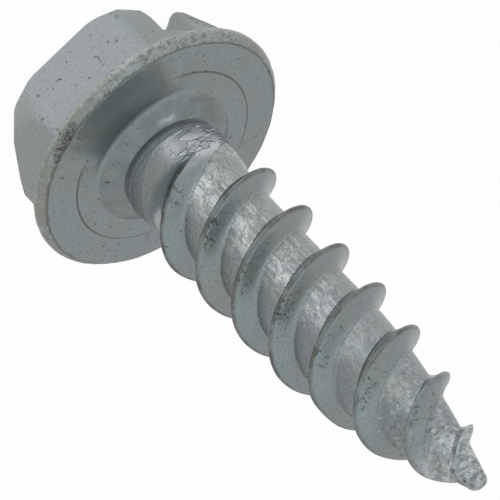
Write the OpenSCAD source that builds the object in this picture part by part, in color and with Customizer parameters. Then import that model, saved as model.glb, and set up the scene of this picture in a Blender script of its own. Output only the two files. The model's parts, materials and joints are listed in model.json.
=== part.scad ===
// Self-piercing sheet-metal screw: slotted hex head with a washer flange,
// a twin-start right-hand thread and a sharp point, all one cold-formed piece.
// It stands on its head: the top of the head is the plane z = 0, the axis is
// the Z axis, and the point is up. Millimetres and degrees.

/* [Hex head] */
// Width of the hex across its flats
hex_af = 7.65; // [6:0.05:8.4]
// Height of the whole head, from its top to the seat under the flange
head_h = 3.5; // [2.8:0.05:5]
// How far the chamfer on the top of the hex cuts its six corners down
hex_chamfer_h = 0.7; // [0.3:0.05:1.5]
// Width of the flat bevel along the top edges of the hex
hex_edge_w = 0.12; // [0.05:0.01:0.3]

/* [Driver slot] */
// Width of the slot for a flat driver
slot_w = 1.3; // [0.8:0.05:2]
// Depth of the slot below the top of the head
slot_d = 1.5; // [0.6:0.05:1.8]
// Radius of the rounded mouth of the slot
slot_mouth_r = 0.5; // [0.1:0.05:0.6]
// Angle between the slot and the X axis
slot_turn = 30; // [0:0.5:60]

/* [Flange] */
// Diameter over the rim of the flange
flange_d = 9.85; // [9.3:0.05:13]
// Height of the straight band round the rim
rim_band_h = 0.28; // [0.1:0.02:0.6]
// Radial width of the bevel between the rim and the underside
rim_bevel_w = 0.22; // [0.05:0.01:0.5]
// Height of that bevel
rim_bevel_h = 0.3; // [0.1:0.02:0.6]
// Rise of the upper face of the flange, from its rim to the hex
flange_rise = 0.3; // [0.05:0.05:0.8]

/* [Underside] */
// Diameter of the raised seat in the middle of the underside
seat_d = 7.05; // [6.2:0.05:8.4]
// Height of the step round the seat
seat_step = 0.06; // [0.02:0.01:0.15]
// Diameter of the collar where it leaves the seat
collar_d = 5.4; // [5:0.05:6]
// Height of the domed collar above the seat
collar_h = 0.37; // [0.1:0.01:0.45]
// Diameter of the plain neck between the collar and the thread
neck_d = 3.5; // [3:0.05:3.8]
// Distance from the seat to the start of the thread
neck_l = 0.93; // [0.6:0.01:1.5]

/* [Thread] */
// Number of threads that run side by side
starts = 2; // [1:1:3]
// Distance from one crest to the next, along the axis
crest_spacing = 2.117; // [1.6:0.001:3]
// Diameter over the crests
thread_d = 4.74; // [4.3:0.02:5.6]
// Diameter at the root, between the crests
root_d = 3.32; // [2.6:0.02:3.6]
// Diameter of the plain land where the thread starts
land_d = 3.96; // [3.9:0.02:4.2]
// Width of the crest
crest_w = 0.16; // [0.06:0.02:0.3]
// Width of one thread at its foot
thread_foot_w = 1.06; // [0.6:0.02:1.5]
// How hollow the flanks are: 1 is straight, more is hollower
flank_hollow = 1.6; // [1:0.1:2.5]
// Distance over which the blank is rolled down from the land to the root
run_in_l = 1.8; // [0.8:0.1:3]
// Length of the land before its blank is rolled down to the root
land_l = 0.8; // [0.2:0.05:1]
// Share of the head side's width that the thread has where it starts
fold_share = 0.25; // [0.1:0.05:1]
// Angle by which the thread is turned about the axis
thread_turn = 43.5; // [0:0.5:360]

/* [Point] */
// Length of the screw under its head
under_head_l = 18.2; // [13:0.1:30]
// Length of the taper of the root
root_taper_l = 8; // [4:0.1:10]
// Length of the taper of the crests
crest_taper_l = 10.4; // [6:0.1:12]
// How full the taper of the root is: 1 is a plain cone, more is fuller
root_fullness = 1.7; // [1:0.1:3]
// How full the taper of the crests is
crest_fullness = 2.75; // [1:0.05:4]
// Diameter of the blunt end of the point
tip_d = 0.56; // [0.3:0.05:1]
// Length of the plain end of the point, past the last of the thread
tip_plain_l = 0.6; // [0.3:0.1:2]

/* [Smoothness] */
// Facets in one turn of the thread
turn_facets = 40; // [24:4:48]
// Steps across one flank of the thread
flank_steps = 3; // [2:1:4]

/* [Hidden] */
$fn = 96;

// Levels along the axis
seat_z = head_h;
land_z = seat_z + neck_l;
tip_z = seat_z + under_head_l;

// Head
hex_sides = 6;
hex_corner_r = hex_af / 2 / cos(180 / hex_sides);
rim_r = flange_d / 2;
underside_z = seat_z - seat_step;
rim_low_z = underside_z - rim_bevel_h - rim_band_h;
flange_top_z = rim_low_z - flange_rise;
neck_r = neck_d / 2;

// Thread
lead = starts * crest_spacing;
land_r = land_d / 2;
tip_r = tip_d / 2;
rows_per_crest = 2 * (flank_steps + 1);
rows_per_lead = starts * rows_per_crest;
// The skin of the thread starts one lead below the land and ends past the tip
skin_z = land_z - lead - crest_spacing / 2;
crest_count = ceil((tip_z - skin_z) / crest_spacing) + 1;
last_row = crest_count * rows_per_crest - 1;
// The blunt end is a dome this high, with this many flat rings
dome_h = tip_r;
dome_rings = 4;
dome_r = 1.25 * tip_r;
collar_rings = 8;
// The neck runs on into the thread by this much, so that the two are one solid
neck_lap = neck_l / 4;
// Cuts run past the faces that they open by this much
overcut = slot_w / 2;
metal = [0.56, 0.59, 0.6];

// A smooth step from 0 to 1
function ease(x) = let (t = min(1, max(0, x))) t * t * (3 - 2 * t);

// A taper from the tip to full size, at a distance d below the tip
function taper(d, full_r, taper_l, fullness) =
    tip_r + (full_r - tip_r) * (1 - pow(1 - min(1, max(0, d / taper_l)), fullness));

// How much of the blank is left unrolled at height z
function unrolled(z) = 1 - ease((z - land_z - land_l) / run_in_l);

// Radius of the root at height z
function root_r(z) =
    let (r = taper(tip_z - z, root_d / 2, root_taper_l, root_fullness))
    r + (land_r - r) * unrolled(z);

// Radius of the crest at height z: it grows out of the land, and fades over
// half a spacing on each side of the last of the thread
function crest_r(z) =
    let (
        r = taper(tip_z - z, thread_d / 2, crest_taper_l, crest_fullness),
        grown = ease((z - land_z) / (land_l + run_in_l)),
        fade_z = tip_z - tip_plain_l + crest_spacing / 2,
        kept = ease((fade_z - z) / crest_spacing),
        base = root_r(z)
    )
    base + max(0, r - base) * grown * kept;

// Place of a row across one thread, from -1 at one foot to 1 at the other
function row_side(row) = row < rows_per_crest / 2 ? -1 : 1;
function row_step(row) =
    row < rows_per_crest / 2 ? flank_steps - row : row - rows_per_crest / 2;
function row_share(row) = row_step(row) / flank_steps;
function row_rise(row) = pow(1 - row_share(row), flank_hollow);

// Where the thread starts, its head side is a steep fold over the land
function side_share(row, crest_z) =
    row_side(row) > 0 ? 1 : fold_share + (1 - fold_share) * ease((crest_z - land_z) / run_in_l - 0.5);

// Distance of a row from its crest, along the axis
function row_offset(row, crest_z) =
    row_side(row)
        * (crest_w / 2 + (thread_foot_w - crest_w) / 2 * row_share(row) * side_share(row, crest_z));

// One point of the skin: column i goes round the axis, row k along the thread
function skin_point(k, i) =
    let (
        row = k % rows_per_crest,
        crest = floor(k / rows_per_crest),
        crest_z = skin_z + lead * i / turn_facets + crest * crest_spacing,
        z = crest_z + row_offset(row, crest_z),
        r = root_r(z) + row_rise(row) * (crest_r(z) - root_r(z)),
        angle = thread_turn + 360 * i / turn_facets
    )
    [r * cos(angle), r * sin(angle), z];

// The thread and its core as one closed skin that winds round the axis: after a
// full turn a row meets the row that lies one lead further on
module thread_skin() {
    columns = turn_facets;
    points = [
        for (k = [0 : last_row]) for (i = [0 : columns - 1]) skin_point(k, i)
    ];
    low_apex = len(points);
    high_apex = low_apex + 1;
    function at(k, i) = k * columns + i;
    function patch(a, b, c, d) = [[a, d, b], [b, d, c]];
    strips = [
        for (k = [0 : last_row - 1]) for (i = [0 : columns - 2])
            each patch(at(k, i), at(k, i + 1), at(k + 1, i + 1), at(k + 1, i))
    ];
    seam = [
        for (k = [0 : last_row - 1 - rows_per_lead])
            let (next = k + rows_per_lead)
            each patch(at(k, columns - 1), at(next, 0), at(next + 1, 0), at(k + 1, columns - 1))
    ];
    low_rim = [
        for (i = [0 : columns - 1]) at(0, i),
        for (k = [rows_per_lead : -1 : 1]) at(k, 0)
    ];
    high_rim = [
        for (i = [0 : columns - 1]) at(last_row, i),
        for (k = [last_row - 1 : -1 : last_row - rows_per_lead]) at(k, columns - 1)
    ];
    low_cap = [
        for (n = [0 : len(low_rim) - 1])
            [low_apex, low_rim[n], low_rim[(n + 1) % len(low_rim)]]
    ];
    high_cap = [
        for (n = [0 : len(high_rim) - 1])
            [high_apex, high_rim[(n + 1) % len(high_rim)], high_rim[n]]
    ];
    low_z = skin_z - crest_spacing / 2;
    high_z = points[at(last_row, columns - 1)].z + crest_spacing / 2;
    polyhedron(
        points = concat(points, [[0, 0, low_z], [0, 0, high_z]]),
        faces = concat(strips, seam, low_cap, high_cap),
        convexity = 10
    );
}

// Points of a quarter of an ellipse that falls from its top to its widest place
function quarter(foot, w, h, rings) =
    [for (n = [0 : rings]) let (a = 90 * n / rings) [foot.x + w * sin(a), foot.y + h * cos(a)]];

// The room that the thread may fill: above the start of the land, and inside
// the dome at the end of the point
module thread_room() {
    dome_foot = [0, tip_z - dome_h];
    rotate_extrude()
        polygon(concat(
            quarter(dome_foot, dome_r, dome_h, dome_rings),
            [[rim_r, dome_foot.y - rim_r], [rim_r, land_z], [0, land_z]]
        ));
}

// The hex, with a chamfer round its top that is deepest at the corners
module hex_block() {
    intersection() {
        cylinder(h = underside_z, r = hex_corner_r, $fn = hex_sides);
        rotate_extrude()
            polygon([
                [0, 0],
                [hex_af / 2 - hex_edge_w, 0],
                [hex_af / 2, hex_edge_w],
                [hex_corner_r, hex_chamfer_h],
                [hex_corner_r + hex_edge_w, hex_chamfer_h],
                [hex_corner_r + hex_edge_w, seat_z],
                [0, seat_z]
            ]);
    }
}

// The flange, its raised seat, the collar and the plain neck
module flange_and_neck() {
    collar = quarter([neck_r, seat_z], collar_d / 2 - neck_r, collar_h, collar_rings);
    rotate_extrude()
        polygon(concat(
            [[0, land_z + neck_lap], [neck_r, land_z + neck_lap]],
            collar,
            [
                [seat_d / 2, seat_z],
                [seat_d / 2, underside_z],
                [rim_r - rim_bevel_w, underside_z],
                [rim_r, rim_low_z + rim_band_h],
                [rim_r, rim_low_z],
                [hex_af / 2, flange_top_z],
                [0, flange_top_z]
            ]
        ));
}

// The slot runs from flat to flat of the hex and has a rounded mouth
module slot_cut() {
    half_l = hex_corner_r + overcut;
    mouth_w = slot_w + 2 * slot_mouth_r;
    rotate([0, 0, slot_turn])
        rotate([90, 0, 90])
            translate([0, 0, -half_l])
                linear_extrude(2 * half_l) {
                    translate([-slot_w / 2, -overcut])
                        square([slot_w, slot_d + overcut]);
                    difference() {
                        translate([-mouth_w / 2, -overcut])
                            square([mouth_w, slot_mouth_r + overcut]);
                        for (side = [-1, 1])
                            translate([side * mouth_w / 2, slot_mouth_r])
                                circle(slot_mouth_r);
                    }
                }
}

module screw() {
    color(metal)
        difference() {
            union() {
                hex_block();
                flange_and_neck();
                intersection() {
                    thread_skin();
                    thread_room();
                }
            }
            slot_cut();
        }
}

screw();
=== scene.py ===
# %% [markdown]
# # A self-piercing screw
# This lesson dresses one zinc-plated sheet-metal screw: a slotted hex head with a
# washer flange, a short neck, a steep thread with two starts and a blunt point.
# The imported model is loaded first, because it fixes the size and the place of
# everything that follows. Its box is kept.

# %% Load the imported model
import json
from math import atan2, cos, hypot, pi, radians, sin, sqrt, tan, tau

import bmesh
import bpy
from mathutils import Matrix, Vector, noise


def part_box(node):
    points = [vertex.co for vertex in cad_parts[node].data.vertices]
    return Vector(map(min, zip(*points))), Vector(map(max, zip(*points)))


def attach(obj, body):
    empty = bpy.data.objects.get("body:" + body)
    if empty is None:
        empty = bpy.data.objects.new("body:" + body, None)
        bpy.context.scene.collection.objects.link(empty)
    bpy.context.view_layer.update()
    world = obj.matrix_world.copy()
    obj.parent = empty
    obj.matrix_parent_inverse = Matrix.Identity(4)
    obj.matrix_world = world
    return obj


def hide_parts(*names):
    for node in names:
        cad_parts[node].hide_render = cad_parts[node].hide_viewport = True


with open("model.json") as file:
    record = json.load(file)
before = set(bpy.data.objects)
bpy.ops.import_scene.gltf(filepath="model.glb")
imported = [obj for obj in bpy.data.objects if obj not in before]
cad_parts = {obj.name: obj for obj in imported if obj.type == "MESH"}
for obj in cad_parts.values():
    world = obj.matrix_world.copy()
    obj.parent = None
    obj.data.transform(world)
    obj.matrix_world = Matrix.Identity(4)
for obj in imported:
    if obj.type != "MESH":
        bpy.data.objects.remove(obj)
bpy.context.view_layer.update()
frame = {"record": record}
scene = bpy.context.scene
scene.view_settings.view_transform = "Standard"

# %% [markdown]
# ## The camera
# The screw stands on its head, and the photograph looks down on the underside of
# its flange from the front. The picture is turned, so that the axis of the screw
# runs from the upper left to the lower right. The circles of the flange show the
# height of the camera, and the outline shows the turn and the scale. A long lens
# keeps the shape nearly as flat as it is in the picture.

# %% Set up the camera
PICTURE_PX = 500
CAMERA_HEIGHT = radians(34.56)
AXIS_TURN = radians(46.25)
CAMERA_DISTANCE = 0.23
PX_PER_METRE = 29291.5
SEAT_PX = Vector((162.8, 155.9))

mounts = {mount["name"]: mount for mount in frame["record"]["mounts"]}
seat_height = mounts["under_head_seat"]["pos_m"][2]
seat_centre = Vector((0, 0, seat_height))

toward_camera = Vector((0, -cos(CAMERA_HEIGHT), sin(CAMERA_HEIGHT)))
screen_up = Vector((0, sin(CAMERA_HEIGHT), cos(CAMERA_HEIGHT)))
screen_side = Vector((1, 0, 0))
picture_right = screen_up * cos(AXIS_TURN) - screen_side * sin(AXIS_TURN)
picture_down = screen_up * sin(AXIS_TURN) + screen_side * cos(AXIS_TURN)

eye = seat_centre + toward_camera * CAMERA_DISTANCE
to_middle = (Vector((PICTURE_PX / 2, PICTURE_PX / 2)) - SEAT_PX) / PX_PER_METRE
aim = seat_centre + picture_right * to_middle.x + picture_down * to_middle.y
camera_z = (eye - aim).normalized()
camera_x = (picture_right - camera_z * picture_right.dot(camera_z)).normalized()
camera_y = camera_z.cross(camera_x)

camera = bpy.data.objects.new("camera", bpy.data.cameras.new("camera"))
camera.matrix_world = Matrix((
    (camera_x.x, camera_y.x, camera_z.x, eye.x),
    (camera_x.y, camera_y.y, camera_z.y, eye.y),
    (camera_x.z, camera_y.z, camera_z.z, eye.z),
    (0, 0, 0, 1),
))
camera.data.lens = camera.data.sensor_width * PX_PER_METRE * CAMERA_DISTANCE / PICTURE_PX
scene.collection.objects.link(camera)
scene.camera = camera
print("camera lens:", round(camera.data.lens, 1), "mm")

# %% [markdown]
# ## The sizes of the screw
# Every length below is in millimetres, as on a drawing, and the finished mesh is
# brought to metres in one step at the end. The flange and the length are read
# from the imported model, and the other lengths repeat the drawing of the screw.
# The thread grows out of a plain land under the head and shrinks again towards
# the point, so the radius of its root and of its crest are functions of height.
# Two small helpers say how far a height is past the land or close to the point.

# %% The screw's sizes and the two radii of its thread
MM = 0.001
box_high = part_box("screw")[1]
FLANGE_R = box_high.x / MM
TIP_Z = box_high.z / MM
SEAT_Z = seat_height / MM
LAND_Z = SEAT_Z + 0.93
CREST_SPACING = 2.117
LEAD = 2 * CREST_SPACING
THREAD_R = 2.37
ROOT_R = 1.66
LAND_R = 1.98
LAND_SLOPE = 0.1
TIP_R = 0.28
CREST_W = 0.16
FOOT_W = 1.06
ROOT_TAPER = (8, 1.72)
CREST_TAPER = (10.4, 2.75)
LAND_L = 0.8
LAND_FALL = 1.8
CREST_END = 0.5
THREAD_TURN = radians(35)
FIRST_CREST_Z = SEAT_Z + 0.83 - LEAD - CREST_SPACING / 2


def ease(share):
    t = min(1, max(0, share))
    return t * t * (3 - 2 * t)


def past_land(z, start, length):
    return ease((z - LAND_Z - start) / length)


def near_point(z, start, length):
    return ease((z - TIP_Z + start) / length)


def taper(below_tip, full_r, length, fullness):
    left = 1 - min(1, max(0, below_tip / length))
    return TIP_R + (full_r - TIP_R) * (1 - left ** fullness)


def root_radius(z, delay=0):
    rolled = past_land(z, LAND_L + delay, LAND_FALL)
    root = taper(TIP_Z - z, ROOT_R, *ROOT_TAPER)
    land = LAND_R - LAND_SLOPE * (z - LAND_Z - 0.3)
    return land + (root - land) * rolled


def crest_radius(z):
    grown = past_land(z, 0.2, 2.4) * past_land(z, 0.7, 0.9)
    kept = ease((TIP_Z - CREST_END + CREST_SPACING / 2 - z) / CREST_SPACING)
    crest = taper(TIP_Z - z, THREAD_R, *CREST_TAPER)
    root = root_radius(z)
    return root + max(0, crest - root) * grown * kept


print("root and crest at mid length:", root_radius(12), crest_radius(12))

# %% [markdown]
# ## The thread
# On the real screw two flat dies roll the thread into a plain wire, so the metal
# flows from the roots up into the crests, and where the two flows meet a fine
# fold is left along the crest. One could sweep a profile along a curve, but a
# spin that also climbs does the same in one operator: a straight chain of points
# that spans two crests goes round and up, and every turn joins the turn below.
# The chain has few points in the root and many across the crest. After the spin
# each point is moved in or out to the radius that the drawing gives. Near the
# head the land stays level up to the first crest, and near the point the side of
# a crest that faces the head is steep. Knocks dent or raise a few crests.

# %% Spin a climbing ribbon
TURN_STEPS = 150
TURNS = 6

thread = bmesh.new()
chain_start = FIRST_CREST_Z - CREST_SPACING / 2
marks = [0, CREST_SPACING / 2 - FOOT_W / 2, CREST_SPACING / 2 - CREST_W / 2]
marks += [CREST_SPACING - mark for mark in reversed(marks[1:])]
marks += [mark + CREST_SPACING for mark in marks] + [LEAD]
around = Vector((cos(THREAD_TURN), sin(THREAD_TURN), 0))
corners = [thread.verts.new(around + Vector((0, 0, chain_start + mark))) for mark in marks]
spans = [thread.edges.new(pair) for pair in zip(corners, corners[1:])]
cuts_across = {"root": 3, "flank": 5, "crest": 7}
kinds = ["root", "flank", "crest", "flank", "root"] * 2
for kind, cuts in cuts_across.items():
    chosen = [span for span, name in zip(spans, kinds) if name == kind]
    bmesh.ops.subdivide_edges(thread, edges=chosen, cuts=cuts)
chain_points = len(thread.verts)
bmesh.ops.spin(
    thread,
    geom=thread.verts[:] + thread.edges[:],
    cent=(0, 0, 0),
    axis=(0, 0, 1),
    dvec=(0, 0, LEAD / TURN_STEPS),
    angle=tau,
    steps=TURN_STEPS,
    use_merge=False,
)
one_turn = thread.verts[:] + thread.edges[:] + thread.faces[:]
for turn in range(1, TURNS):
    copied = bmesh.ops.duplicate(thread, geom=one_turn)["geom"]
    copied_verts = [part for part in copied if isinstance(part, bmesh.types.BMVert)]
    bmesh.ops.translate(thread, verts=copied_verts, vec=(0, 0, turn * LEAD))
bmesh.ops.remove_doubles(thread, verts=thread.verts, dist=0.002)
print("ribbon:", chain_points, "points across,", len(thread.verts), "in all")

# %% Push the ribbon out to the thread's shape
FLANK_HOLLOW = 1.35
CREST_ROUND = 0.07
LAND_DELAY = 0.9
START_DIP = 0.45
FOLD_W = 0.022
FOLD_DEPTH = 0.1
DENT = 0.012
DENT_SIZE = 0.55


def from_crest(point):
    turned = (atan2(point.y, point.x) - THREAD_TURN) / tau
    early = START_DIP * (1 - past_land(point.z, 0.5, 1.7))
    climbed = point.z + early - FIRST_CREST_Z - LEAD * turned + CREST_SPACING / 2
    return climbed % CREST_SPACING - CREST_SPACING / 2


def thread_rise(point):
    off = from_crest(point)
    half_crest = CREST_W / 2 * (1 + near_point(point.z, 2.6, 1.6))
    if abs(off) <= half_crest:
        return 1 - CREST_ROUND * (off / half_crest) ** 2
    foot = FOOT_W / 2 - half_crest
    if off < 0:
        foot *= 4 - 3 * past_land(point.z, 0.8, 1.2)
        last_fin = near_point(point.z, 2.2, 0.8)
        foot *= 1 - 0.65 * near_point(point.z, 5, 2) * (1 - 0.7 * last_fin)
    else:
        foot *= 1 - 0.4 * near_point(point.z, 2.4, 1)
    down = (abs(off) - half_crest) / foot
    return (1 - CREST_ROUND) * max(0, 1 - down) ** FLANK_HOLLOW


def land_delay(point):
    off = from_crest(point)
    if off > 0:
        return 0
    near_head = 1 - past_land(point.z, 1.1, 0.8)
    return LAND_DELAY * near_head * (1 - ease((abs(off) - 0.5) / 0.5))


def crest_fold(point):
    near_head = 1 - past_land(point.z, 1.3, 1)
    in_fold = max(0, 1 - abs(from_crest(point)) / FOLD_W)
    return FOLD_DEPTH * near_head * in_fold


knocks = [
    (Vector((2.2, 0.2, 7.1)), 1.5, 0.06),
    (Vector((2.2, 0.1, 15.1)), 1.3, -0.13),
    (Vector((-1.7, 0, 16)), 0.9, -0.05),
    (Vector((-1.35, 0, 18)), 0.9, 0.06),
    (Vector((-0.65, 0, 20.3)), 0.8, 0.17),
]


def knocked(point):
    push = 0
    for middle, reach, depth in knocks:
        if abs(point.z - middle.z) < reach:
            push += depth * ease(1 - (point - middle).length / reach)
    return push


for vert in thread.verts:
    height = max(0, thread_rise(vert.co) - crest_fold(vert.co))
    low = root_radius(vert.co.z, land_delay(vert.co))
    radius = low + height * max(0, crest_radius(vert.co.z) - low)
    radius += DENT * noise.noise(vert.co / DENT_SIZE) * (0.4 + height)
    outer = Vector((vert.co.x, vert.co.y, 0)).normalized() * radius
    outer.z = vert.co.z
    radius += knocked(outer) * height
    stretch = radius / hypot(vert.co.x, vert.co.y)
    vert.co.x *= stretch
    vert.co.y *= stretch
print("widest crest:", round(max(hypot(v.co.x, v.co.y) for v in thread.verts), 3), "mm")

# %% [markdown]
# ## The blunt point
# The dies pinch the end of the wire off, and the plating rounds what is left to
# a small dome. The ribbon runs past the end, so it is first cut off flat below
# the land and just short of the tip. The open rim at the tip is then extruded
# in short steps that shrink along a quarter of an ellipse, and a last small ring
# is filled. That keeps the dome as smooth as the steps are short.

# %% Cut the ribbon and close its point
DOME_H = 0.34
DOME_STEPS = 9
DOME_SHARE = 0.93
dome_z = TIP_Z - DOME_H


def open_rim(mesh, z):
    return [
        edge for edge in mesh.edges
        if edge.is_boundary and all(abs(vert.co.z - z) < 0.01 for vert in edge.verts)
    ]


def cut_level(mesh, z, **side):
    everything = mesh.verts[:] + mesh.edges[:] + mesh.faces[:]
    bmesh.ops.bisect_plane(
        mesh, geom=everything, dist=0.0005, plane_co=(0, 0, z), plane_no=(0, 0, 1), **side
    )


cut_level(thread, LAND_Z, clear_inner=True)
cut_level(thread, dome_z, clear_outer=True)
for z in (LAND_Z, dome_z):
    rim_verts = {vert for edge in open_rim(thread, z) for vert in edge.verts}
    bmesh.ops.remove_doubles(thread, verts=list(rim_verts), dist=0.006)

rim = open_rim(thread, dome_z)
for step in range(DOME_STEPS):
    before = step / DOME_STEPS * pi / 2
    after = (step + DOME_SHARE) / DOME_STEPS * pi / 2
    grown = bmesh.ops.extrude_edge_only(thread, edges=rim)["geom"]
    ring = [part for part in grown if isinstance(part, bmesh.types.BMVert)]
    rim = [part for part in grown if isinstance(part, bmesh.types.BMEdge) and part.is_boundary]
    shrink = cos(after) / cos(DOME_SHARE * before if step else 0)
    bmesh.ops.scale(thread, verts=ring, vec=(shrink, shrink, 1))
    for vert in ring:
        vert.co.z = dome_z + DOME_H * sin(after)
end_face = bmesh.ops.edgeloop_fill(thread, edges=rim)["faces"]
bmesh.ops.poke(thread, faces=end_face)
print("thread and point:", len(thread.faces), "faces")

# %% [markdown]
# ## The flange, the collar and the neck
# Under the hex the header's die presses a washer flange, a flat seat and a
# sloping collar, and above it a short neck stays plain. All of that is round,
# so a few corners of the section are joined up and spun once about the axis.
# The corners come out sharp, and each ring is then bevelled with its own radius,
# because the die wears each of them in its own way.

# %% Spin the section of the flange
RIM_LOW_Z = SEAT_Z - 0.64
NECK_R = 1.84
section = {
    "neck_end": (NECK_R, LAND_Z),
    "neck_foot": (NECK_R, SEAT_Z + 0.6),
    "collar_top": (2.05, SEAT_Z + 0.575),
    "collar_foot": (2.75, SEAT_Z),
    "seat_edge": (3.525, SEAT_Z),
    "step_foot": (3.54, SEAT_Z - 0.03),
    "underside_edge": (FLANGE_R - 0.24, SEAT_Z - 0.075),
    "rim_edge": (FLANGE_R, RIM_LOW_Z + 0.28),
    "rim_back": (FLANGE_R, RIM_LOW_Z),
    "hex_foot": (3.825, RIM_LOW_Z - 0.3),
    "middle": (0, RIM_LOW_Z - 0.3),
}
ROUND_STEPS = 200

flange = bmesh.new()
points = [flange.verts.new((r, 0, z)) for r, z in section.values()]
for pair in zip(points, points[1:]):
    flange.edges.new(pair)
bmesh.ops.spin(
    flange,
    geom=flange.verts[:] + flange.edges[:],
    cent=(0, 0, 0),
    axis=(0, 0, 1),
    angle=tau,
    steps=ROUND_STEPS,
    use_merge=True,
)
bmesh.ops.remove_doubles(flange, verts=flange.verts, dist=0.0005)
bmesh.ops.edgeloop_fill(flange, edges=open_rim(flange, LAND_Z))
bmesh.ops.recalc_face_normals(flange, faces=flange.faces)
print("flange:", len(flange.faces), "faces, closed:", all(e.is_manifold for e in flange.edges))

# %% Round each ring of the flange with its own radius
ring_rounding = {
    "collar_top": (0.1, 5),
    "collar_foot": (0.12, 4),
    "underside_edge": (0.05, 3),
    "rim_edge": (0.08, 3),
    "rim_back": (0.1, 4),
}
RING_GAP = 0.004


def ring_edges(mesh, r, z):
    def on_ring(vert):
        return abs(hypot(vert.co.x, vert.co.y) - r) < RING_GAP and abs(vert.co.z - z) < RING_GAP

    return [edge for edge in mesh.edges if all(on_ring(vert) for vert in edge.verts)]


for name, (rounding, segments) in ring_rounding.items():
    bmesh.ops.bevel(
        flange,
        geom=ring_edges(flange, *section[name]),
        offset=rounding,
        offset_type="OFFSET",
        segments=segments,
        profile=0.5,
        affect="EDGES",
        material=-1,
        clamp_overlap=True,
    )
print("rounded flange:", len(flange.faces), "faces")

# %% [markdown]
# ### A rim that has been knocked about
# The rim of the real flange isn't a perfect circle. It is slightly oval, its
# edges are worn, and there are small nicks in it. Smooth noise that changes
# round the rim moves its points in by a few hundredths of a millimetre, and a
# small stretch makes the oval. The step in the underside can be felt only at
# two sides, so it is filled up at the other two.

# %% Wear the rim
RIM_WEAR = 0.03
RIM_OVAL = 0.006
STEP_H = 0.03
STEP_R = 3.53
NICK_SIZE = 0.35
WAVE_SIZE = 0.3
WAVE_PLACE = Vector((7, 3, 1))
for vert in flange.verts:
    radius = hypot(vert.co.x, vert.co.y)
    if STEP_R < radius < 4.6 and vert.co.z > SEAT_Z - 0.1:
        filled = 1 - ease((abs(vert.co.x) / radius - 0.45) / 0.4)
        vert.co.z += STEP_H * filled * ease((4.5 - radius) / 0.9)
    at_rim = ease((radius - 4.3) / 0.4)
    nick = max(0, noise.noise(vert.co / NICK_SIZE))
    wear = RIM_WEAR * nick * ease((radius - 4.55) / 0.12)
    if at_rim:
        vert.co.x *= 1 - wear / radius + RIM_OVAL * at_rim
        vert.co.y *= 1 - wear / radius
        wave = noise.noise(vert.co / WAVE_SIZE + WAVE_PLACE)
        vert.co.z += 0.5 * RIM_WEAR * wave * at_rim
print("rim wear up to", RIM_WEAR, "mm")

# %% [markdown]
# ## The hex
# The hex is upset in the same blow as the flange. A circle of six points gives
# its outline and an extrusion its height. Its upright edges are slightly round,
# and the die leaves a chamfer at each corner of the top. Each chamfer is cut
# with three planes that lean by 45 degrees, which follow the cone of the die.
# The corners differ a little in depth, as they do on the real head. Before that,
# three single planes take off a low side, a broken corner and a worn one. All
# the edges of the top are softened last.

# %% Extrude the hex and round its upright edges
HEX_AF = 7.65
HEX_R = HEX_AF / 2 / cos(pi / 6)
HEX_END_Z = RIM_LOW_Z - 0.42
EDGE_R = 0.11


def rising(edge):
    return abs(edge.verts[0].co.z - edge.verts[1].co.z) > 1


hexagon = bmesh.new()
bmesh.ops.create_circle(hexagon, cap_ends=True, segments=6, radius=HEX_R)
first = min(hexagon.verts, key=lambda vert: abs(vert.co.y))
start = atan2(first.co.y, first.co.x)
bmesh.ops.rotate(hexagon, verts=hexagon.verts, matrix=Matrix.Rotation(-start, 3, "Z"))
walls = bmesh.ops.extrude_face_region(hexagon, geom=hexagon.faces[:])["geom"]
raised = [part for part in walls if isinstance(part, bmesh.types.BMVert)]
bmesh.ops.translate(hexagon, verts=raised, vec=(0, 0, HEX_END_Z))
bmesh.ops.recalc_face_normals(hexagon, faces=hexagon.faces)
bmesh.ops.bevel(
    hexagon,
    geom=[edge for edge in hexagon.edges if rising(edge)],
    offset=EDGE_R,
    offset_type="OFFSET",
    segments=3,
    profile=0.5,
    affect="EDGES",
    material=-1,
)
print("hex:", HEX_AF, "mm across flats,", len(hexagon.faces), "faces")

# %% Chamfer the corners of the top
CORNER_DEPTHS = {0: 0.72, 60: 0.6, 120: 0.65, 240: 0.44, 300: 0.38}
CONE_FACETS = (-13, 0, 13)
CONE_SLOPE = 45
BROKEN_CORNER = (180, 180, 1.31, 59)
LOW_SIDE = (240, 208, 0.335, 25)
WORN_CORNER = (300, 300, 2.35, 83.7)
TOP_EDGE_R = 0.24


def cut_top(through, towards, depth, slope):
    through = radians(through)
    towards = radians(towards)
    bmesh.ops.bisect_plane(
        hexagon,
        geom=hexagon.verts[:] + hexagon.edges[:] + hexagon.faces[:],
        plane_co=(HEX_R * cos(through), HEX_R * sin(through), depth),
        plane_no=Vector((cos(towards), sin(towards), -1 / tan(radians(slope)))).normalized(),
        clear_outer=True,
    )
    bmesh.ops.holes_fill(hexagon, edges=[edge for edge in hexagon.edges if edge.is_boundary])


cut_top(*LOW_SIDE)
cut_top(*BROKEN_CORNER)
cut_top(*WORN_CORNER)
for corner, depth in CORNER_DEPTHS.items():
    for facet in CONE_FACETS:
        cut_top(corner + facet, corner + facet, depth, CONE_SLOPE)
bmesh.ops.remove_doubles(hexagon, verts=hexagon.verts, dist=0.01)
bmesh.ops.recalc_face_normals(hexagon, faces=hexagon.faces)
crisp = [
    edge for edge in hexagon.edges
    if edge.is_manifold and edge.calc_face_angle() > radians(20)
    and max(vert.co.z for vert in edge.verts) < 1.2
]
bmesh.ops.bevel(
    hexagon,
    geom=crisp,
    offset=TOP_EDGE_R,
    offset_type="OFFSET",
    segments=3,
    profile=0.5,
    affect="EDGES",
    material=-1,
    clamp_overlap=True,
)
print("chamfered hex:", len(hexagon.faces), "faces")

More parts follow.
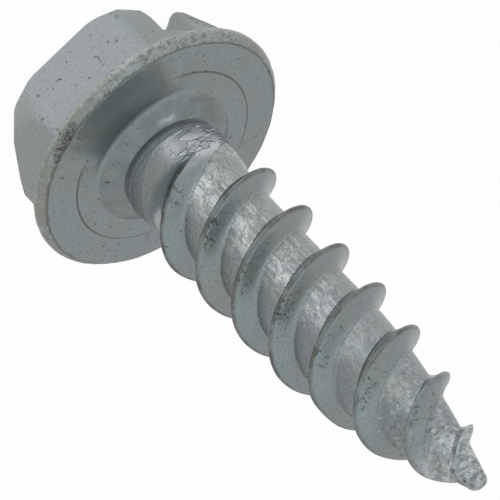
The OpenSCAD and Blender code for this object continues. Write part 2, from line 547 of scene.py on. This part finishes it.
# %% [markdown]
# ### The foot of the hex
# Where the hex meets the flange the die has a small radius. The lower outline of
# the hex is extruded in short steps that widen along a quarter circle, and the
# last step ends inside the flange, so the two blend.

# %% Flare the foot of the hex
FOOT_R = 0.1
FOOT_STEPS = 4
foot_face = max(hexagon.faces, key=lambda face: face.calc_center_median().z)
foot_rim = foot_face.edges[:]
bmesh.ops.delete(hexagon, geom=[foot_face], context="FACES_ONLY")
for step in range(1, FOOT_STEPS + 1):
    angle = step / FOOT_STEPS * pi / 2
    grown = bmesh.ops.extrude_edge_only(hexagon, edges=foot_rim)["geom"]
    ring = [part for part in grown if isinstance(part, bmesh.types.BMVert)]
    foot_rim = [part for part in grown if isinstance(part, bmesh.types.BMEdge) and part.is_boundary]
    wide = (HEX_AF / 2 + FOOT_R * (1 - cos(angle))) / (HEX_AF / 2)
    earlier = step - 1
    narrow = (HEX_AF / 2 + FOOT_R * (1 - cos(earlier / FOOT_STEPS * pi / 2))) / (HEX_AF / 2)
    bmesh.ops.scale(hexagon, verts=ring, vec=(wide / narrow, wide / narrow, 1))
    for vert in ring:
        vert.co.z = HEX_END_Z + FOOT_R * 1.6 * sin(angle)
bmesh.ops.edgeloop_fill(hexagon, edges=foot_rim)
bmesh.ops.recalc_face_normals(hexagon, faces=hexagon.faces)
print("hex with its foot, closed:", all(edge.is_manifold for edge in hexagon.edges))

# %% [markdown]
# ## The driver slot
# A saw or a punch cuts the slot right across the head, and plating and use round
# its mouth and the corners where it leaves the hex. The cutter is a grid that
# stands on edge and is extruded to a block. Its two walls then bow outwards near
# the top of the head and near the two flats, as the rounding asks. Drivers have
# worn one wall further than the other, so each has its own distance, flare and
# rounding. A Boolean takes the block away from the hex, because a slot that opens
# on three sides is simpler to cut than to model.

# %% Make the cutter
SLOT_WALLS = {-1: 0.65, 1: 0.77}
SLOT_DEPTH = 1.5
MOUTH_R = {-1: 0.5, 1: 0.85}
WORN_MOUTH_R = {-1: 1.18, 1: 0.32}
SLOT_FLARE = {-1: 0.0, 1: 0.25}
FLARE_FROM = 2.9
FLARE_L = 0.9
WORN_FROM = 1.6
WORN_FULLY = 2.9
END_R = 0.15
SLOT_TURN = radians(30)
CUTTER_L = 4.6
CUTTER_OVER = 0.5
CUTTER_CROWDING = 0.45


def rounded_by(inside, radius):
    if inside >= radius:
        return 0
    if inside <= 0:
        return radius
    return radius - sqrt(radius ** 2 - (radius - inside) ** 2)


def slot_half_width(along, depth, wall):
    worn = ease((abs(along) - WORN_FROM) / (WORN_FULLY - WORN_FROM))
    mouth = rounded_by(depth, MOUTH_R[wall] + worn * (WORN_MOUTH_R[wall] - MOUTH_R[wall]))
    end = rounded_by(HEX_AF / 2 - abs(along), END_R)
    flare = SLOT_FLARE[wall] * (1 - ease((abs(along) - FLARE_FROM) / FLARE_L))
    return SLOT_WALLS[wall] + flare + hypot(mouth, end)


cutter = bmesh.new()
bmesh.ops.create_grid(cutter, x_segments=64, y_segments=24, size=1)
other_wall = bmesh.ops.extrude_face_region(cutter, geom=cutter.faces[:])["geom"]
other_verts = [part for part in other_wall if isinstance(part, bmesh.types.BMVert)]
bmesh.ops.translate(cutter, verts=other_verts, vec=(0, 0, 1))
for vert in cutter.verts:
    side = 1 if vert.co.z > 0.5 else -1
    share = abs(vert.co.x) ** CUTTER_CROWDING
    along = CUTTER_L * (share if vert.co.x > 0 else -share)
    depth = -CUTTER_OVER + (SLOT_DEPTH + CUTTER_OVER) * (vert.co.y + 1) / 2
    vert.co = (along, side * slot_half_width(along, depth, side), depth)
bmesh.ops.rotate(cutter, verts=cutter.verts, matrix=Matrix.Rotation(SLOT_TURN, 3, "Z"))
bmesh.ops.recalc_face_normals(cutter, faces=cutter.faces)
print("cutter:", sum(SLOT_WALLS.values()), "mm wide,", len(cutter.faces), "faces")

# %% Cut the slot and join the hex to the flange


def as_object(mesh, name):
    data = bpy.data.meshes.new(name)
    mesh.to_mesh(data)
    mesh.free()
    made = bpy.data.objects.new(name, data)
    scene.collection.objects.link(made)
    return made


def combine(kept, tool, operation):
    boolean = kept.modifiers.new(operation.lower(), "BOOLEAN")
    boolean.operation = operation
    boolean.solver = "EXACT"
    boolean.object = tool
    graph = bpy.context.evaluated_depsgraph_get()
    data = bpy.data.meshes.new_from_object(kept.evaluated_get(graph))
    kept.modifiers.clear()
    kept.data = data
    bpy.data.objects.remove(tool)


hex_object = as_object(hexagon, "hex")
combine(hex_object, as_object(cutter, "cutter"), "DIFFERENCE")
head_object = as_object(flange, "head")
combine(head_object, hex_object, "UNION")
print("head:", len(head_object.data.polygons), "faces")

# %% [markdown]
# ## One closed skin
# The screw is a single piece of metal, so the head and the thread become one
# mesh. The cap over the neck is deleted, and the open rim of the neck is bridged
# to the open rim of the land, which makes the small shoulder between them. The
# head sits a little off the axis and the point is bent by a hair, as they are on
# the real screw. Then the mesh is brought from millimetres to metres.

# %% Bridge the neck to the thread
BEND = 0.07
HEAD_SHIFT = 0.03
SHIFT_L = 0.8
BEND_START = 11

screw = bmesh.new()
screw.from_mesh(head_object.data)
bpy.data.objects.remove(head_object)
thread_data = bpy.data.meshes.new("thread")
thread.to_mesh(thread_data)
thread.free()
screw.from_mesh(thread_data)
caps = [face for face in screw.faces if abs(face.calc_center_median().z - LAND_Z) < 0.001]
bmesh.ops.delete(screw, geom=caps, context="FACES_ONLY")
bmesh.ops.bridge_loops(screw, edges=open_rim(screw, LAND_Z))
for vert in screw.verts:
    bent = max(0, (vert.co.z - BEND_START) / (TIP_Z - BEND_START))
    vert.co.x -= BEND * bent * bent
    vert.co.x -= HEAD_SHIFT * (1 - ease((vert.co.z - SEAT_Z) / SHIFT_L))
bmesh.ops.dissolve_degenerate(screw, edges=screw.edges, dist=0.0005)
bmesh.ops.triangulate(screw, faces=[face for face in screw.faces if len(face.verts) > 4])
bmesh.ops.recalc_face_normals(screw, faces=screw.faces)
loose_edges = [edge for edge in screw.edges if not edge.is_manifold]
bmesh.ops.scale(screw, verts=screw.verts, vec=(MM, MM, MM))
print("screw:", len(screw.faces), "faces,", len(loose_edges), "open or doubled edges")

# %% Put the screw in the scene
SHARP_ANGLE = radians(38)

piece = as_object(screw, "plated_screw")
for polygon in piece.data.polygons:
    polygon.use_smooth = True
piece.data.set_sharp_from_angle(angle=SHARP_ANGLE)
flat_shading = piece.modifiers.new("flat_shading", "WEIGHTED_NORMAL")
flat_shading.keep_sharp = True
rise = piece.data.attributes.new("thread_rise", "FLOAT", "POINT")
side = piece.data.attributes.new("thread_side", "FLOAT", "POINT")
for index, vert in enumerate(piece.data.vertices):
    place = vert.co / MM
    on_thread = ease((place.z - LAND_Z) / 0.02)
    rise.data[index].value = on_thread * thread_rise(place)
    side.data[index].value = on_thread * sin(from_crest(place) / CREST_SPACING * tau)
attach(piece, "root")
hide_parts("screw")
print("the screw replaces its CAD node")

# %% [markdown]
# ## Sums in a material
# A finish is a sum of many small patterns, and such a sum is easier to read as
# an expression than as a list of nodes and links. So one small class holds an
# output of a node. Its operators add Math nodes, and its method adds any other
# node: first the settings, and then the values or links of its inputs.

# %% A socket that can be used in an expression
class Wire:
    def __init__(self, socket):
        self.socket = socket
        self.tree = socket.id_data

    def node(self, kind, settings, inputs, output=0):
        made = self.tree.nodes.new(kind)
        for name, value in settings.items():
            setattr(made, name, value)
        for key, value in inputs.items():
            if isinstance(value, Wire):
                self.tree.links.new(value.socket, made.inputs[key])
            else:
                made.inputs[key].default_value = value
        return Wire(made.outputs[output])

    def math(self, operation, first, second=0.0):
        return self.node("ShaderNodeMath", {"operation": operation}, {0: first, 1: second})

    def __add__(self, other):
        return self.math("ADD", self, other)

    __radd__ = __add__

    def __sub__(self, other):
        return self.math("SUBTRACT", self, other)

    def __rsub__(self, other):
        return self.math("SUBTRACT", other, self)

    def __mul__(self, other):
        return self.math("MULTIPLY", self, other)

    __rmul__ = __mul__

    def __truediv__(self, other):
        return self.math("DIVIDE", self, other)

    def __rtruediv__(self, other):
        return self.math("DIVIDE", other, self)

    def __pow__(self, other):
        return self.math("POWER", self, other)

    def __abs__(self):
        return self.math("ABSOLUTE", self)

    def fade(self, low, high):
        inputs = {"Value": self, "From Min": low, "From Max": high}
        return self.node("ShaderNodeMapRange", {"interpolation_type": "SMOOTHSTEP"}, inputs)

    def blend(self, colour, other):
        settings = {"data_type": "RGBA", "clamp_factor": True}
        return self.node("ShaderNodeMix", settings, {0: self, 6: colour, 7: other}, output=2)


print("sums are ready")

# %% [markdown]
# ## The zinc finish
# New zinc plating is an even blue-white metal. This screw has been about: its
# plating is dull, with darker and warmer clouds, tiny dark specks all over it,
# burnished lumps in the roots where the dies pressed hardest, grime along the
# crests, a gouge in the rim and a mottled point. Some of the colour is painted
# light and shade: the burnish is kept to the front of each root as a painted
# highlight, with painted shade at the sides. The crease of the step and the feet
# of the flanks have dark lines of painted shade. The collar is darker, partly as
# painted shade. The neck, the backs of the first and last crests, a streak on the
# collar and the end of the point are painted lighter as painted light.
# Each of those is a mask between 0 and 1, made from noise and from the place on
# the screw, and the masks mix a few colours and roughnesses.
# Places are in millimetres here too, because the sizes are then plain to read.

# %% Where a point is on the screw
zinc = bpy.data.materials.new("worn_zinc_plating")
zinc.use_nodes = True
nodes = zinc.node_tree.nodes
shader = nodes["Principled BSDF"]
coordinates = nodes.new("ShaderNodeTexCoord")
metres = Wire(coordinates.outputs["Object"])
place = metres.node("ShaderNodeVectorMath", {"operation": "SCALE"}, {0: metres, "Scale": 1 / MM})
x_mm = place.node("ShaderNodeSeparateXYZ", {}, {0: place}, "X")
y_mm = place.node("ShaderNodeSeparateXYZ", {}, {0: place}, "Y")
z_mm = place.node("ShaderNodeSeparateXYZ", {}, {0: place}, "Z")
axis_mm = (x_mm * x_mm + y_mm * y_mm) ** 0.5
rise_share = place.node("ShaderNodeAttribute", {"attribute_name": "thread_rise"}, {}, "Fac")
side_share = place.node("ShaderNodeAttribute", {"attribute_name": "thread_side"}, {}, "Fac")


def clouds(size, detail=3.0, roughness=0.55, vector=place):
    inputs = {"Vector": vector, "Scale": 1 / size, "Detail": detail, "Roughness": roughness}
    return place.node("ShaderNodeTexNoise", {}, inputs)


on_thread = z_mm.fade(LAND_Z - 0.02, LAND_Z + 0.02)
on_hex = 1 - z_mm.fade(2.3, 2.6)
on_rim = axis_mm.fade(4.66, 4.74)
in_root = on_thread * (1 - rise_share.fade(0.02, 0.16))
at_crest = on_thread * rise_share.fade(0.82, 0.94)
to_front = 0 - y_mm
small_clouds = clouds(0.3, detail=4.0)
grain = clouds(0.06, detail=2.0)
ragged_x = abs(x_mm) + 0.5 * small_clouds
rolled_flat = on_hex * to_front.fade(3.7, 3.78) * (1 - ragged_x.fade(2.2, 2.3))
warm_flat = on_hex * x_mm.fade(2.2, 2.3)
dull_flat = on_hex * (0 - x_mm).fade(2.25, 2.35) * to_front.fade(0.0, 0.5)
print("places: thread, hex, rim, root, crest and the flats of the hex")

# %% Specks
def spots(cell, reach):
    inputs = {"Vector": place, "Scale": 1 / cell}
    distance = place.node("ShaderNodeTexVoronoi", {}, inputs, "Distance")
    tint = place.node("ShaderNodeTexVoronoi", {}, inputs, "Color")
    luck = place.node("ShaderNodeSeparateColor", {}, {0: tint}, "Red")
    return (1 - distance / (reach * (0.25 + luck ** 3))).fade(0.0, 0.8)


SPECK_CELLS = {0.16: 0.3, 0.33: 0.25, 0.7: 0.17}
specks = sum(spots(cell, reach) for cell, reach in SPECK_CELLS.items()) * (1 - 0.5 * on_thread)
print("specks in cells of", list(SPECK_CELLS), "mm")

# %% Burnish, grime and lines
along_thread = place.node(
    "ShaderNodeCombineXYZ", {}, {"X": x_mm, "Y": y_mm, "Z": side_share * 0.6 + z_mm * 0.8}
)
streaks = clouds(0.5, detail=6.0, roughness=0.72, vector=along_thread)
lumps = clouds(0.13, detail=5.0, roughness=0.72, vector=along_thread)
pits = clouds(0.09, detail=4.0, roughness=0.7)
to_left = x_mm / axis_mm
# The burnish is real, and it is also a painted highlight: it is kept to the front of each root, and
# the sides of the roots get painted shade.
painted_root_side_shade = (1 - 0.85 * to_left.fade(0.05, 0.5)) * (1 - 0.7 * (0 - to_left).fade(0.5, 0.9))
rolled = in_root * z_mm.fade(LAND_Z + 0.6, LAND_Z + 2.2) * (1 - 0.85 * z_mm.fade(11.0, 18.5))
burnish_and_painted_highlight = rolled * (0.4 * streaks + 0.6 * lumps).fade(0.42, 0.6) * painted_root_side_shade
pitted = in_root * pits.fade(0.53, 0.66)
near_head = 1 - z_mm.fade(LAND_Z + 0.9, LAND_Z + 1.7)
on_land = on_thread * near_head
across = place.node("ShaderNodeCombineXYZ", {}, {"X": x_mm * 0.35, "Y": y_mm * 0.5, "Z": z_mm})
folds = clouds(0.3, detail=2.5, roughness=0.55, vector=across)
crinkles = on_land * (0 - x_mm).fade(0.1, 0.6) * folds.fade(0.47, 0.54)
seam = on_land * rise_share.fade(0.6, 0.8) * (1 - abs(abs(side_share) - 0.22).fade(0.015, 0.06))
# Painted shade: a dark line in the crease at the foot of each flank that faces the point.
flank_foot_painted_shade = on_thread * side_share.fade(0.1, 0.3) * (1 - abs(rise_share - 0.03).fade(0.008, 0.03))

grime_side = to_front.fade(0.5, 1.5) * (1 - abs(x_mm - 0.5).fade(0.2, 1.0))
grime_noise = 0.4 * clouds(0.5, detail=5.0, roughness=0.7) + 0.6 * clouds(0.1, detail=4.0)
on_flank = on_thread * rise_share.fade(0.2, 0.5) * side_share.fade(0.0, 0.3)
grime_spread = (grime_noise + 0.1 * grime_side).fade(0.58, 0.7)
grime = on_flank * grime_spread * clouds(0.9).fade(0.33, 0.5)

near_tip = z_mm.fade(15.0, 18.5)
dirt_spread = 0.45 + 0.55 * clouds(0.5).fade(0.4, 0.6)
crest_dirt = at_crest * (1 - near_head) * (1 - 0.7 * near_tip) * dirt_spread
off_seat = z_mm.fade(SEAT_Z + 0.01, SEAT_Z + 0.06) * (1 - on_thread)
on_collar = (1 - axis_mm.fade(2.6, 2.75)) * off_seat
off_collar = z_mm.fade(SEAT_Z + 0.5, SEAT_Z + 0.58) * (1 - on_thread)
in_neck = off_collar * (1 - axis_mm.fade(1.94, 2.05))
sides = abs(x_mm).fade(1.7, 2.6)
under = z_mm.fade(3.2, 3.3) * (1 - on_thread)
# Painted shade: a dark line along the crease of the step in the underside, at its two sides only.
step_crease_painted_shade = sides * under * (1 - abs(axis_mm - STEP_R).fade(0.015, 0.05))
edge_line = under * (1 - abs(axis_mm + 0.12 * small_clouds - 4.765).fade(0.01, 0.06))
scuff_side = (1 - x_mm.fade(-1.5, 1.5)) * to_front.fade(0.5, 2.5)
scuffs = on_rim * (0.5 * small_clouds + 0.5 * clouds(0.15) + 0.12 * scuff_side).fade(0.54, 0.65)
blots = clouds(0.2, detail=4.0, roughness=0.65)
rim_pits = on_rim * (0.35 + 0.65 * scuff_side) * blots.fade(0.57, 0.64)
print("masks: burnish, grime, crest dirt, lines and scuffs")

# %% The mottled point, its painted highlight and painted light on the backs of the crests
tip_bright = near_tip * (0.3 + 0.7 * in_root) * blots.fade(0.5, 0.68)
tip_dark = near_tip * clouds(0.19, detail=4.0, roughness=0.65, vector=across).fade(0.56, 0.68)
tip_end = z_mm.fade(19.4, 20.2)
bands = clouds(0.15, detail=4.0, roughness=0.65, vector=across)
tip_streaks = z_mm.fade(20.2, 20.6) * bands.fade(0.54, 0.62)
# A painted highlight, in streaks along the end of the point.
tip_painted_highlight = tip_end * (0.2 + 0.8 * clouds(0.17, detail=4.0, vector=across).fade(0.42, 0.6))
tip_worn = z_mm.fade(20.7, 21.3) * clouds(0.22, detail=4.0).fade(0.42, 0.58)
# Painted light: the backs of the first crests and of those near the point face the head and mirror
# the dark flange, so they are painted lighter.
start_over = z_mm.fade(LAND_Z + 1.7, LAND_Z + 2.7)
first_backs_painted_light = 0.7 * z_mm.fade(LAND_Z + 0.9, LAND_Z + 1.4) * (1 - start_over)
facing_head = (0 - side_share).fade(0.1, 0.5) * rise_share.fade(0.1, 0.3)
crest_backs_painted_light = on_thread * (near_tip + first_backs_painted_light) * facing_head
print("masks: the point and the backs of the first and last crests")

# %% Scratches, a gouge and a painted highlight on the collar
scratch_ends = [
    ((0.95, -3.83, 0.85), (0.68, -3.83, 1.0)),
    ((-0.62, -3.83, 1.25), (-0.75, -3.83, 1.75)),
    ((-0.75, -1.5, 7.9), (-0.1, -1.66, 8.0)),
    ((-0.7, -1.5, 10.1), (0.25, -1.63, 10.3)),
    ((0.5, -1.6, 14.3), (0.15, -1.64, 14.5)),
    ((1.9, -3.0, 3.45), (2.3, -2.6, 3.45)),
]
SCRATCH_W = 0.014
gouge_ends = ((1.5, -4.62, 3.3), (2.75, -4.0, 3.4))
GOUGE_W = 0.09
# The bright streak on the collar is a painted highlight, drawn with the same mask as a scratch.
collar_highlight_ends = ((-1.15, -1.82, 3.83), (-0.65, -2.05, 3.83))
COLLAR_HIGHLIGHT_W = 0.01
WANDER = 0.3


def vector_sum(operation, first, second, output=0):
    settings = {"operation": operation}
    return place.node("ShaderNodeVectorMath", settings, {0: first, 1: second}, output)


def scaled(vector, by):
    return place.node("ShaderNodeVectorMath", {"operation": "SCALE"}, {0: vector, "Scale": by})


wave_inputs = {"Vector": place, "Scale": 4.0, "Detail": 2.0}
wander = scaled(place.node("ShaderNodeTexNoise", {}, wave_inputs, "Color"), WANDER)
wander = vector_sum("SUBTRACT", wander, (WANDER / 2, WANDER / 2, WANDER / 2))
wavy = vector_sum("ADD", place, wander)


def scratch_mask(start, end, width, soft=3):
    start = Vector(start)
    run = Vector(end) - start
    reach = vector_sum("SUBTRACT", wavy, start)
    along = vector_sum("DOT_PRODUCT", reach, run, "Value")
    clamped = {"operation": "MULTIPLY", "use_clamp": True}
    share = place.node("ShaderNodeMath", clamped, {0: along, 1: 1 / run.length_squared})
    gap = vector_sum("DISTANCE", reach, scaled(run, share), "Value")
    return 1 - gap.fade(width, soft * width)


collar_painted_highlight = scratch_mask(*collar_highlight_ends, COLLAR_HIGHLIGHT_W, soft=24)
scratch = sum(scratch_mask(*ends, SCRATCH_W) for ends in scratch_ends)
gouge_spread = 0.2 + 0.8 * clouds(0.08, detail=4.0).fade(0.4, 0.58)
gouge = scratch_mask(*gouge_ends, GOUGE_W) * gouge_spread
print("scratches:", len(scratch_ends), "and one gouge and one painted collar highlight")

# %% Colour
ZINC = (0.345, 0.388, 0.396, 1)
WARM_ZINC = (0.355, 0.380, 0.370, 1)
ROLLED_ZINC = (0.372, 0.404, 0.418, 1)
TAN = (0.385, 0.395, 0.350, 1)
BRIGHT = (0.500, 0.535, 0.550, 1)
BURNISHED_AND_PAINTED_LIGHT = (0.700, 0.728, 0.740, 1)
DULL_AND_PAINTED_SHADE = (0.240, 0.268, 0.268, 1)
DARK = (0.040, 0.044, 0.044, 1)
GOUGED = (0.085, 0.072, 0.076, 1)
BROWN_DIRT_AND_PAINTED_SHADE = (0.110, 0.100, 0.076, 1)

colour = clouds(1.6).fade(0.4, 0.65).blend(ZINC, WARM_ZINC)
colour = rolled_flat.blend(colour, ROLLED_ZINC)
colour = warm_flat.blend(colour, WARM_ZINC)
colour = (dull_flat * 0.3).blend(colour, DULL_AND_PAINTED_SHADE)
colour = (on_rim * 0.85).blend(colour, TAN)
colour = (scuffs * 0.75).blend(colour, BRIGHT)
colour = (0.75 * grain.fade(0.48, 0.75)).blend(colour, DULL_AND_PAINTED_SHADE)
colour = (on_land * (0.25 + 0.75 * (0 - x_mm).fade(-0.1, 0.5))).blend(colour, BRIGHT)
# The collar is painted darker: partly its own brownish-grey patches, partly painted shade under the
# thread.
colour = (on_collar * (0.4 + 0.4 * clouds(0.6).fade(0.4, 0.6))).blend(colour, DULL_AND_PAINTED_SHADE)
# Besides real polish, this adds painted light: a painted highlight on the point, a streak on the
# collar and the backs of crests.
polish_and_painted_light = burnish_and_painted_highlight * 0.95 + crinkles + tip_bright * 0.6 + tip_painted_highlight + collar_painted_highlight * 0.9 + crest_backs_painted_light * 0.8
colour = polish_and_painted_light.blend(colour, BURNISHED_AND_PAINTED_LIGHT)
# Painted light: the neck is painted lighter, to lift the dark reflection it has.
colour = (in_neck * 0.38).blend(colour, BURNISHED_AND_PAINTED_LIGHT)
colour = (0.75 * pitted + 0.5 * flank_foot_painted_shade).blend(colour, DULL_AND_PAINTED_SHADE)
colour = (grime * 0.7 + tip_dark * 0.45 + tip_streaks * 0.4).blend(colour, DARK)
colour = (rim_pits * 0.6 + tip_worn * 0.35).blend(colour, BROWN_DIRT_AND_PAINTED_SHADE)
colour = (crest_dirt * 0.7).blend(colour, BROWN_DIRT_AND_PAINTED_SHADE)
colour = (0.6 * step_crease_painted_shade + 0.55 * edge_line).blend(colour, BROWN_DIRT_AND_PAINTED_SHADE)
colour = (specks * 0.6).blend(colour, BROWN_DIRT_AND_PAINTED_SHADE)
colour = (gouge * 0.85).blend(colour, GOUGED)
colour = (scratch * 0.7 + seam * 0.6).blend(colour, DARK)
print("colours mixed")

# %% Roughness and relief
RELIEF_H = 0.000018
roughness = 0.2 - 0.08 * burnish_and_painted_highlight + 0.1 * small_clouds + 0.25 * grime + 0.2 * specks
roughness = roughness + 0.1 * on_rim + 0.06 * on_hex + 0.07 * under + 0.2 * in_neck
relief = 0.35 * small_clouds + 0.2 * grain - 0.3 * specks - 0.5 * scratch
relief = relief + in_root * (0.6 * streaks + 0.6 * lumps - 0.5 * pits)
relief = relief + 1.4 * crinkles - 0.6 * gouge - 0.6 * tip_dark
bump_inputs = {"Strength": 1.0, "Distance": RELIEF_H, "Height": relief}
bump = place.node("ShaderNodeBump", {}, bump_inputs)
zinc.node_tree.links.new(colour.socket, shader.inputs["Base Color"])
zinc.node_tree.links.new(roughness.socket, shader.inputs["Roughness"])
zinc.node_tree.links.new(bump.socket, shader.inputs["Normal"])
shader.inputs["Metallic"].default_value = 1.0
piece.data.materials.clear()
piece.data.materials.append(zinc)
print("zinc finish:", len(nodes), "nodes")

# %% [markdown]
# ## The studio
# The photograph has a plain white ground and soft light from all round. The
# floor is white to the camera, but part of its white is lit by the lamps, so it
# keeps the shadow of the screw. Metal shows mostly what stands round it, and a
# studio isn't equally bright on all sides. So in the metal the floor and the
# world have levels of their own, none of them above white: close by, the floor is
# brightest in front, and further off it is dimmer, with one bright strip that
# the roots of the thread mirror.

# %% Floor
FLOOR_SIZE = 1.2
FLOOR_GAP = 0.00002
GLOW_SHARE = 0.97
FLOOR_FRONT = 0.98
FLOOR_SIDE = 0.68
FLOOR_RIGHT = 0.84
FAR_LEFT = 0.56
FAR_RIGHT = 0.74
FAR_PEAK = 1.0
CLOSE_END = 0.0095
FAR_START = 0.0115

floor_mesh = bmesh.new()
bmesh.ops.create_grid(floor_mesh, x_segments=1, y_segments=1, size=FLOOR_SIZE / 2)
bmesh.ops.translate(floor_mesh, verts=floor_mesh.verts, vec=(0, 0, -FLOOR_GAP))
floor = as_object(floor_mesh, "floor")
pale = bpy.data.materials.new("pale_floor")
pale.use_nodes = True
pale_nodes = pale.node_tree.nodes
pale_nodes.clear()
path = pale_nodes.new("ShaderNodeLightPath")


def seen(path_node):
    camera_ray = Wire(path_node.outputs["Is Camera Ray"])
    glossy_ray = Wire(path_node.outputs["Is Glossy Ray"])
    clear_ray = Wire(path_node.outputs["Is Transmission Ray"])
    either = camera_ray.math("MAXIMUM", camera_ray, glossy_ray)
    return either.math("MAXIMUM", either, clear_ray)


shows = seen(path)
matt = shows.node("ShaderNodeBsdfDiffuse", {}, {"Color": (0.93, 0.93, 0.93, 1)})
floor_place = Wire(pale_nodes.new("ShaderNodeTexCoord").outputs["Object"])
floor_x = floor_place.node("ShaderNodeSeparateXYZ", {}, {0: floor_place}, "X")
floor_y = floor_place.node("ShaderNodeSeparateXYZ", {}, {0: floor_place}, "Y")
floor_reach = (floor_x * floor_x + floor_y * floor_y + 0.000001) ** 0.5
front_share = 0 - floor_y / floor_reach
right_share = 0 - floor_x / floor_reach
beside = FLOOR_SIDE + right_share.fade(0.0, 0.7) * (FLOOR_RIGHT - FLOOR_SIDE)
close = beside + front_share.fade(0.45, 0.95) * (FLOOR_FRONT - beside)
peak = (0.24 * right_share + 0.97 * front_share).fade(0.92, 0.995)
far = FAR_LEFT + right_share.fade(-0.6, 0.5) * (FAR_RIGHT - FAR_LEFT)
far = far + peak * (FAR_PEAK - FAR_RIGHT)
mirrored = close + floor_reach.fade(CLOSE_END, FAR_START) * (far - close)
in_metal = Wire(path.outputs["Is Glossy Ray"])
strength = 1 + in_metal * (mirrored - 1)
glow = shows.node("ShaderNodeEmission", {}, {"Color": (1, 1, 1, 1), "Strength": strength})
mixed = shows.node("ShaderNodeMixShader", {}, {0: shows * GLOW_SHARE, 1: matt, 2: glow})
output = pale_nodes.new("ShaderNodeOutputMaterial")
pale.node_tree.links.new(mixed.socket, output.inputs["Surface"])
floor.data.materials.append(pale)
print("floor:", FLOOR_SIZE, "m")

# %% [markdown]
# ### The world and the lamps
# A lamp would show in the metal as a hard square, so the two soft lamps are kept
# out of the reflections and only make the shadow on the floor. What the metal
# shows of the sky is the world, a little brighter overhead and in front.

# %% World and lamps
ROOM_LIGHT = 0.6
ROOM_IN_METAL = 0.63
ZENITH_IN_METAL = 0.74
FRONT_IN_METAL = 0.7
WHITE = (1, 1, 1, 1)
PALE_TEAL = (0.92, 1.0, 1.02, 1)

world = bpy.data.worlds.new("studio")
scene.world = world
world.use_nodes = True
world_nodes = world.node_tree.nodes
world_nodes.clear()
world_path = world_nodes.new("ShaderNodeLightPath")
to_camera = Wire(world_path.outputs["Is Camera Ray"])
to_metal = Wire(world_path.outputs["Is Glossy Ray"])
sky_place = Wire(world_nodes.new("ShaderNodeTexCoord").outputs["Generated"])
overhead = sky_place.node("ShaderNodeSeparateXYZ", {}, {0: sky_place}, "Z").fade(0.55, 1.0)
sky_front = (0 - sky_place.node("ShaderNodeSeparateXYZ", {}, {0: sky_place}, "Y")).fade(0.0, 0.7)
metal_level = ROOM_IN_METAL + overhead * (ZENITH_IN_METAL - ROOM_IN_METAL)
metal_level = metal_level + sky_front * (FRONT_IN_METAL - metal_level)
level = ROOM_LIGHT + to_camera * (1 - ROOM_LIGHT) + to_metal * (metal_level - ROOM_LIGHT)
tint = (to_metal * overhead.math("MAXIMUM", overhead, sky_front)).blend(WHITE, PALE_TEAL)
sky = level.node("ShaderNodeBackground", {}, {"Color": tint, "Strength": level})
world_output = world_nodes.new("ShaderNodeOutputWorld")
world.node_tree.links.new(sky.socket, world_output.inputs["Surface"])


def soft_lamp(name, place, size, brightness):
    lamp = bpy.data.lights.new(name, "AREA")
    lamp.shape = "SQUARE"
    lamp.size = size
    lamp.energy = brightness * pi * size * size
    made = bpy.data.objects.new(name, lamp)
    made.location = place
    made.rotation_euler = (-Vector(place)).to_track_quat("-Z", "Y").to_euler()
    made.visible_glossy = False
    scene.collection.objects.link(made)
    return made


soft_lamp("key_lamp", (0.12, -0.22, 0.2), 0.24, 0.8)
soft_lamp("fill_lamp", (-0.25, -0.05, 0.2), 0.24, 0.7)
print("studio ready")
